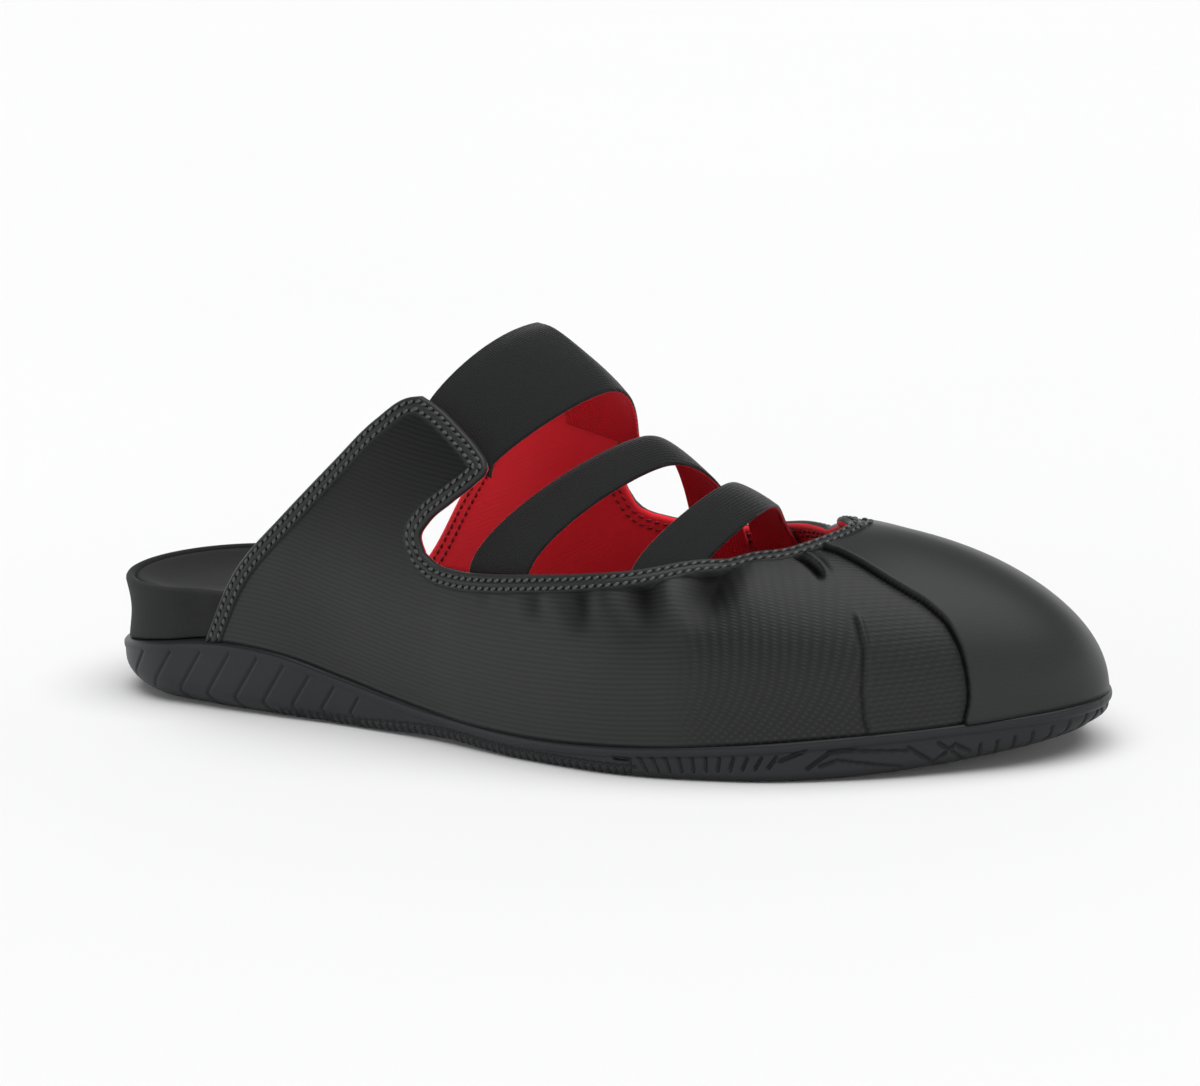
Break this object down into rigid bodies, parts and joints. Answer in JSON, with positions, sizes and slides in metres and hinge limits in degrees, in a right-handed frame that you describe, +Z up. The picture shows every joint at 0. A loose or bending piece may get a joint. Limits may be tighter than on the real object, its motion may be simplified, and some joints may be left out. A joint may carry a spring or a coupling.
{
  "type": "mule",
  "caption": "Closed-toe, open-back casual mule for a right foot, with crossing elastic straps over the instep and a contoured rubber sole.",
  "frame": {"origin": "middle of the shoe's length and width, on the plane it stands on", "axes": "+X from the heel to the toe, +Y to the medial side (the wearer's left), +Z up"},
  "size_m": [0.25, 0.0934, 0.0892],
  "materials": {
    "rubber": "matt moulded black rubber",
    "footbed_wrap": "matt black fabric wrapped over foam",
    "sock_lining": "brushed charcoal fabric",
    "upper_textile": "black satin twill with a low sheen, scarlet lining inside",
    "elastic": "woven black elastic, scarlet underneath"
  },
  "bodies": {
    "root": {"outsole": "rubber", "midsole": "footbed_wrap", "insole": "sock_lining", "upper": "upper_textile", "instep_strap": "elastic", "strap_mid": "elastic", "strap_front": "elastic"}
  },
  "joints": []
}
